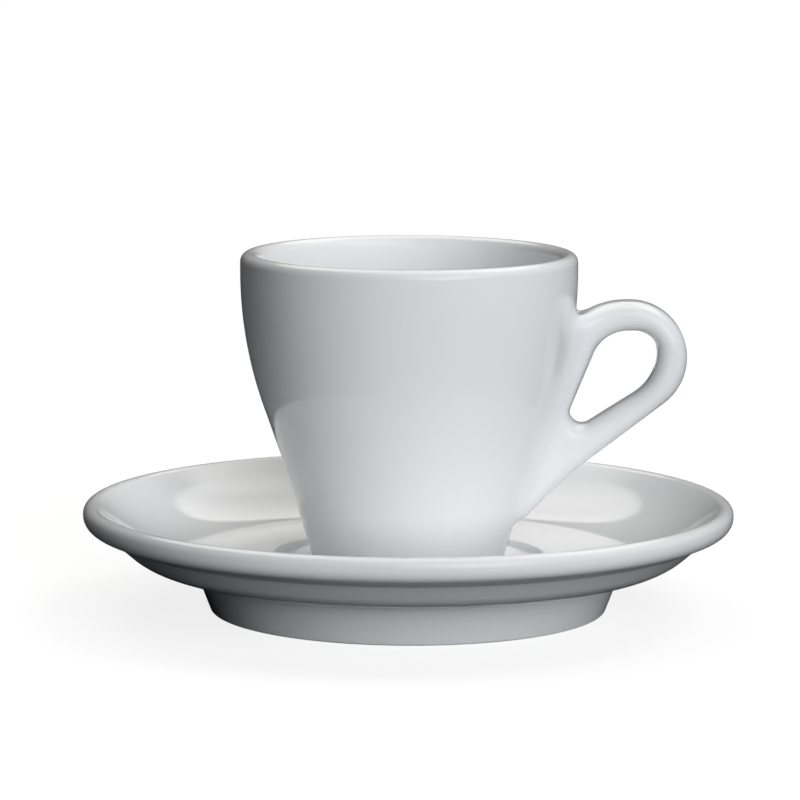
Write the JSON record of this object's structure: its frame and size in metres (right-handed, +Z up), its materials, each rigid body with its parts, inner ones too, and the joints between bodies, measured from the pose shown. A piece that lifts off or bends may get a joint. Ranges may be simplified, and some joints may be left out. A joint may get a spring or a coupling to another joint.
{
  "type": "espresso cup and saucer",
  "caption": "Tapered espresso cup with a rounded lip and a loop handle, standing in the shallow well of a dished saucer with a rolled rim and a foot ring.",
  "frame": {"origin": "on the saucer's axis at table level, the middle of the box's bottom", "axes": "+Z up along the axis of the cup and saucer, +X towards the handle"},
  "size_m": [0.12, 0.12, 0.0662],
  "materials": {
    "saucer_glaze": "clear gloss glaze over white porcelain, bare on the foot ring",
    "cup_glaze": "clear gloss glaze over white porcelain, bare on the foot ring"
  },
  "bodies": {
    "saucer": {"saucer": "saucer_glaze"},
    "cup": {"cup_body": "cup_glaze", "cup_handle": "cup_glaze"}
  },
  "joints": [
    {"name": "cup_lift", "type": "slide", "parent": "saucer", "child": "cup", "axis": [0, 0, 1], "range_m": [0, 0.06]}
  ]
}
